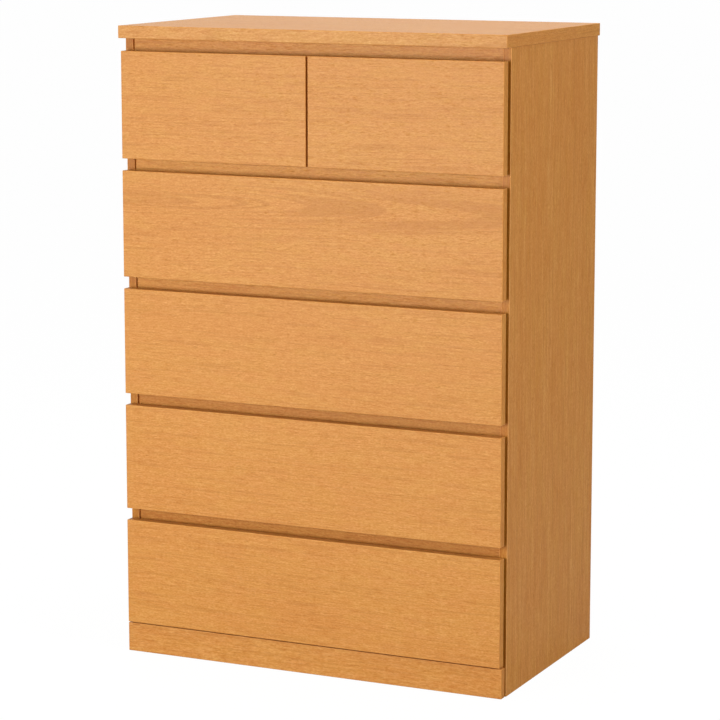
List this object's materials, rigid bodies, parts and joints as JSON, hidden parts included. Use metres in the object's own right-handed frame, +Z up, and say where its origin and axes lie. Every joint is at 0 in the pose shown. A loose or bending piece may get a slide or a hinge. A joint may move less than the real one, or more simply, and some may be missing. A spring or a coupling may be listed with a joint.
{
  "type": "tall chest of drawers",
  "caption": "Tall free-standing chest of drawers in oak veneer, with flat handle-less fronts pulled by finger gaps, on roller runners.",
  "frame": {"origin": "on the floor under the middle of the top panel's outline", "axes": "+Z up, +X to the right as seen from the front, drawer fronts face -Y and drawers open towards -Y"},
  "size_m": [0.8, 0.48, 1.23],
  "materials": {
    "oak_veneer": "satin lacquered oak veneer",
    "foil_board": "matt foil on particle board",
    "hardboard": "thin painted fibreboard",
    "coated_steel": "white epoxy coat",
    "zinc": "zinc plated",
    "nylon": "plain white nylon"
  },
  "bodies": {
    "carcass": {"side_panel_left": "oak_veneer", "side_panel_right": "oak_veneer", "top_panel": "oak_veneer", "centre_divider": "oak_veneer", "plinth": "oak_veneer", "back_panel": "hardboard", "front_rail_top": "oak_veneer", "front_rail_1": "oak_veneer", "front_rail_2": "oak_veneer", "front_rail_3": "oak_veneer", "front_rail_4": "oak_veneer", "rear_top_rail": "foil_board", "divider_rear_rail": "foil_board", "rear_bottom_rail": "foil_board", "cabinet_runners_left": "coated_steel", "cabinet_runners_right": "coated_steel", "cam_locks": "zinc", "cam_bolts": "zinc"},
    "drawer_1_left": {"drawer_1_left_front": "oak_veneer", "drawer_1_left_sides": "foil_board", "drawer_1_left_back": "foil_board", "drawer_1_left_bottom": "hardboard", "drawer_1_left_runners": "coated_steel"},
    "drawer_1_left_front_rollers": {"drawer_1_left_front_rollers": "nylon"},
    "drawer_1_left_rear_rollers": {"drawer_1_left_rear_rollers": "nylon"},
    "drawer_1_right": {"drawer_1_right_front": "oak_veneer", "drawer_1_right_sides": "foil_board", "drawer_1_right_back": "foil_board", "drawer_1_right_bottom": "hardboard", "drawer_1_right_runners": "coated_steel"},
    "drawer_1_right_front_rollers": {"drawer_1_right_front_rollers": "nylon"},
    "drawer_1_right_rear_rollers": {"drawer_1_right_rear_rollers": "nylon"},
    "drawer_2": {"drawer_2_front": "oak_veneer", "drawer_2_sides": "foil_board", "drawer_2_back": "foil_board", "drawer_2_bottom": "hardboard", "drawer_2_runners": "coated_steel"},
    "drawer_2_front_rollers": {"drawer_2_front_rollers": "nylon"},
    "drawer_2_rear_rollers": {"drawer_2_rear_rollers": "nylon"},
    "drawer_3": {"drawer_3_front": "oak_veneer", "drawer_3_sides": "foil_board", "drawer_3_back": "foil_board", "drawer_3_bottom": "hardboard", "drawer_3_runners": "coated_steel"},
    "drawer_3_front_rollers": {"drawer_3_front_rollers": "nylon"},
    "drawer_3_rear_rollers": {"drawer_3_rear_rollers": "nylon"},
    "drawer_4": {"drawer_4_front": "oak_veneer", "drawer_4_sides": "foil_board", "drawer_4_back": "foil_board", "drawer_4_bottom": "hardboard", "drawer_4_runners": "coated_steel"},
    "drawer_4_front_rollers": {"drawer_4_front_rollers": "nylon"},
    "drawer_4_rear_rollers": {"drawer_4_rear_rollers": "nylon"},
    "drawer_5": {"drawer_5_front": "oak_veneer", "drawer_5_sides": "foil_board", "drawer_5_back": "foil_board", "drawer_5_bottom": "hardboard", "drawer_5_runners": "coated_steel"},
    "drawer_5_front_rollers": {"drawer_5_front_rollers": "nylon"},
    "drawer_5_rear_rollers": {"drawer_5_rear_rollers": "nylon"}
  },
  "joints": [
    {"name": "drawer_1_left_slide", "type": "slide", "parent": "carcass", "child": "drawer_1_left", "axis": [0, -1, 0], "range_m": [0, 0.32]},
    {"name": "drawer_1_left_front_rollers_spin", "type": "hinge", "parent": "carcass", "child": "drawer_1_left_front_rollers", "pos_m": [0, -0.183, 1.0085], "axis": [1, 0, 0], "continuous": true},
    {"name": "drawer_1_left_rear_rollers_spin", "type": "hinge", "parent": "drawer_1_left", "child": "drawer_1_left_rear_rollers", "pos_m": [0, 0.185, 1.0075], "axis": [1, 0, 0], "continuous": true},
    {"name": "drawer_1_right_slide", "type": "slide", "parent": "carcass", "child": "drawer_1_right", "axis": [0, -1, 0], "range_m": [0, 0.32]},
    {"name": "drawer_1_right_front_rollers_spin", "type": "hinge", "parent": "carcass", "child": "drawer_1_right_front_rollers", "pos_m": [0, -0.183, 1.0085], "axis": [1, 0, 0], "continuous": true},
    {"name": "drawer_1_right_rear_rollers_spin", "type": "hinge", "parent": "drawer_1_right", "child": "drawer_1_right_rear_rollers", "pos_m": [0, 0.185, 1.0075], "axis": [1, 0, 0], "continuous": true},
    {"name": "drawer_2_slide", "type": "slide", "parent": "carcass", "child": "drawer_2", "axis": [0, -1, 0], "range_m": [0, 0.32]},
    {"name": "drawer_2_front_rollers_spin", "type": "hinge", "parent": "carcass", "child": "drawer_2_front_rollers", "pos_m": [0, -0.183, 0.7795], "axis": [1, 0, 0], "continuous": true},
    {"name": "drawer_2_rear_rollers_spin", "type": "hinge", "parent": "drawer_2", "child": "drawer_2_rear_rollers", "pos_m": [0, 0.185, 0.7785], "axis": [1, 0, 0], "continuous": true},
    {"name": "drawer_3_slide", "type": "slide", "parent": "carcass", "child": "drawer_3", "axis": [0, -1, 0], "range_m": [0, 0.32]},
    {"name": "drawer_3_front_rollers_spin", "type": "hinge", "parent": "carcass", "child": "drawer_3_front_rollers", "pos_m": [0, -0.183, 0.5505], "axis": [1, 0, 0], "continuous": true},
    {"name": "drawer_3_rear_rollers_spin", "type": "hinge", "parent": "drawer_3", "child": "drawer_3_rear_rollers", "pos_m": [0, 0.185, 0.5495], "axis": [1, 0, 0], "continuous": true},
    {"name": "drawer_4_slide", "type": "slide", "parent": "carcass", "child": "drawer_4", "axis": [0, -1, 0], "range_m": [0, 0.32]},
    {"name": "drawer_4_front_rollers_spin", "type": "hinge", "parent": "carcass", "child": "drawer_4_front_rollers", "pos_m": [0, -0.183, 0.3215], "axis": [1, 0, 0], "continuous": true},
    {"name": "drawer_4_rear_rollers_spin", "type": "hinge", "parent": "drawer_4", "child": "drawer_4_rear_rollers", "pos_m": [0, 0.185, 0.3205], "axis": [1, 0, 0], "continuous": true},
    {"name": "drawer_5_slide", "type": "slide", "parent": "carcass", "child": "drawer_5", "axis": [0, -1, 0], "range_m": [0, 0.32]},
    {"name": "drawer_5_front_rollers_spin", "type": "hinge", "parent": "carcass", "child": "drawer_5_front_rollers", "pos_m": [0, -0.183, 0.0925], "axis": [1, 0, 0], "continuous": true},
    {"name": "drawer_5_rear_rollers_spin", "type": "hinge", "parent": "drawer_5", "child": "drawer_5_rear_rollers", "pos_m": [0, 0.185, 0.0915], "axis": [1, 0, 0], "continuous": true}
  ],
  "couplings": [
    {"joint": "drawer_1_left_front_rollers_spin", "follows": "drawer_1_left_slide", "rad_per_m": 125},
    {"joint": "drawer_1_left_rear_rollers_spin", "follows": "drawer_1_left_slide", "rad_per_m": 125},
    {"joint": "drawer_1_right_front_rollers_spin", "follows": "drawer_1_right_slide", "rad_per_m": 125},
    {"joint": "drawer_1_right_rear_rollers_spin", "follows": "drawer_1_right_slide", "rad_per_m": 125},
    {"joint": "drawer_2_front_rollers_spin", "follows": "drawer_2_slide", "rad_per_m": 125},
    {"joint": "drawer_2_rear_rollers_spin", "follows": "drawer_2_slide", "rad_per_m": 125},
    {"joint": "drawer_3_front_rollers_spin", "follows": "drawer_3_slide", "rad_per_m": 125},
    {"joint": "drawer_3_rear_rollers_spin", "follows": "drawer_3_slide", "rad_per_m": 125},
    {"joint": "drawer_4_front_rollers_spin", "follows": "drawer_4_slide", "rad_per_m": 125},
    {"joint": "drawer_4_rear_rollers_spin", "follows": "drawer_4_slide", "rad_per_m": 125},
    {"joint": "drawer_5_front_rollers_spin", "follows": "drawer_5_slide", "rad_per_m": 125},
    {"joint": "drawer_5_rear_rollers_spin", "follows": "drawer_5_slide", "rad_per_m": 125}
  ]
}
